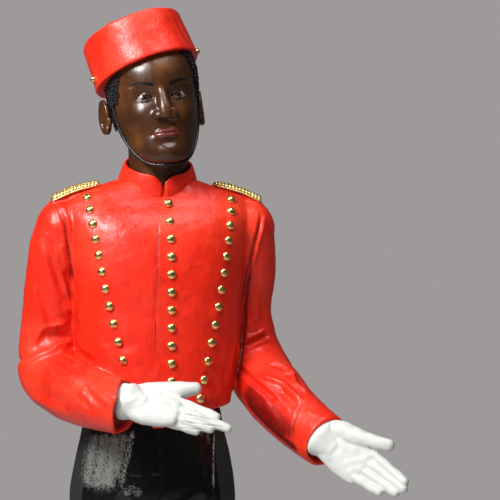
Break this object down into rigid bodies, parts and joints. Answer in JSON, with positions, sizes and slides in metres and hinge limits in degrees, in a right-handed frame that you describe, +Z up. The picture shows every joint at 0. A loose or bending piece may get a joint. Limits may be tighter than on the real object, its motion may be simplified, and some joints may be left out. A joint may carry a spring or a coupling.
{
  "type": "bellboy statue",
  "caption": "Life-size painted bellboy figure in pillbox cap, stud-fronted jacket and gloves, one hand at the waist and one held out, standing on a low base.",
  "frame": {"origin": "middle of the underside of the base", "axes": "+Z up, the figure faces -Y, its left hand side is +X"},
  "size_m": [0.6627, 0.4878, 1.7517],
  "materials": {
    "red_paint": "gloss paint over resin",
    "skin_paint": "gloss paint over resin",
    "black_paint": "gloss paint over resin",
    "matt_black_paint": "matt paint over resin",
    "white_paint": "satin paint over resin",
    "gold_paint": "gold paint over moulded braid",
    "brass": "polished"
  },
  "bodies": {
    "root": {"figure": "red_paint", "base": "matt_black_paint", "stud_right_01": "brass", "stud_right_02": "brass", "stud_right_03": "brass", "stud_right_04": "brass", "stud_right_05": "brass", "stud_right_06": "brass", "stud_right_07": "brass", "stud_right_08": "brass", "stud_right_09": "brass", "stud_right_10": "brass", "stud_right_11": "brass", "stud_centre_01": "brass", "stud_centre_02": "brass", "stud_centre_03": "brass", "stud_centre_04": "brass", "stud_centre_05": "brass", "stud_centre_06": "brass", "stud_centre_07": "brass", "stud_centre_08": "brass", "stud_centre_09": "brass", "stud_centre_10": "brass", "stud_centre_11": "brass", "stud_centre_12": "brass", "stud_left_01": "brass", "stud_left_02": "brass", "stud_left_03": "brass", "stud_left_04": "brass", "stud_left_05": "brass", "stud_left_06": "brass", "stud_left_07": "brass", "stud_left_08": "brass", "stud_left_09": "brass", "stud_left_10": "brass", "stud_left_11": "brass", "stud_left_12": "brass", "stud_left_13": "brass", "stud_cap_right": "brass", "stud_cap_left": "brass"}
  },
  "joints": []
}
